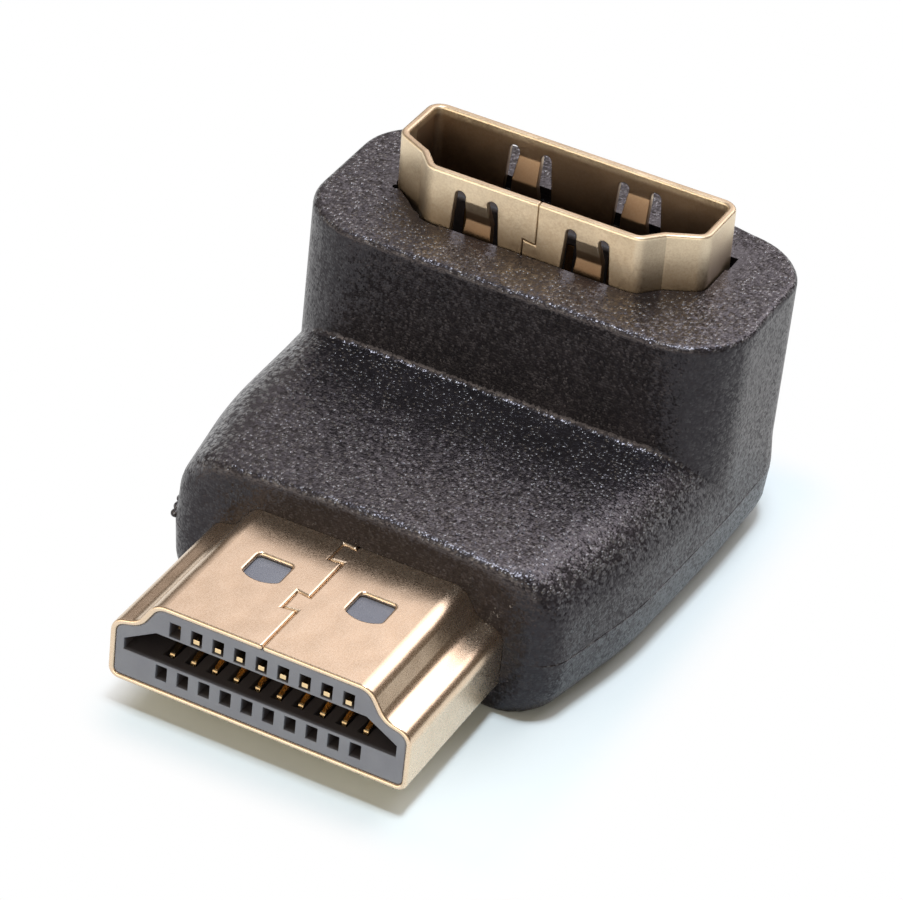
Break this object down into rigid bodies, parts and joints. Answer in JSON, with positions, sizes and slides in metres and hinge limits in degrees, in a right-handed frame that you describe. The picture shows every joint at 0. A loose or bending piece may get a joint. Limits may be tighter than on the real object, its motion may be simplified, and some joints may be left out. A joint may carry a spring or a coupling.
{
  "type": "right-angle video plug adapter",
  "caption": "L-shaped moulded adapter with a flat folded-metal plug nose in front and a matching sprung metal socket that opens upwards.",
  "frame": {"origin": "on the surface that the part stands on, under the middle of its width and length", "axes": "-Y is where the plug points, +Z is where the socket opens, X is the width"},
  "size_m": [0.021, 0.0302, 0.0153],
  "materials": {
    "moulding": "fine spark-eroded grain",
    "plug_plate": "pale gold plate, satin",
    "plug_core": "satin",
    "socket_plate": "pale gold plate, satin",
    "socket_core": "satin",
    "board": "lacquered",
    "contact": "gold plate"
  },
  "bodies": {
    "root": {"moulded_body": "moulding", "plug_shell": "plug_plate", "plug_insulator": "plug_core", "socket_shell": "socket_plate", "socket_insulator": "socket_core", "circuit_board": "board", "plug_contact_01": "contact", "plug_contact_02": "contact", "plug_contact_03": "contact", "plug_contact_04": "contact", "plug_contact_05": "contact", "plug_contact_06": "contact", "plug_contact_07": "contact", "plug_contact_08": "contact", "plug_contact_09": "contact", "plug_contact_10": "contact", "plug_contact_11": "contact", "plug_contact_12": "contact", "plug_contact_13": "contact", "plug_contact_14": "contact", "plug_contact_15": "contact", "plug_contact_16": "contact", "plug_contact_17": "contact", "plug_contact_18": "contact", "plug_contact_19": "contact", "socket_contact_01": "contact", "socket_contact_02": "contact", "socket_contact_03": "contact", "socket_contact_04": "contact", "socket_contact_05": "contact", "socket_contact_06": "contact", "socket_contact_07": "contact", "socket_contact_08": "contact", "socket_contact_09": "contact", "socket_contact_10": "contact", "socket_contact_11": "contact", "socket_contact_12": "contact", "socket_contact_13": "contact", "socket_contact_14": "contact", "socket_contact_15": "contact", "socket_contact_16": "contact", "socket_contact_17": "contact", "socket_contact_18": "contact", "socket_contact_19": "contact"}
  },
  "joints": []
}
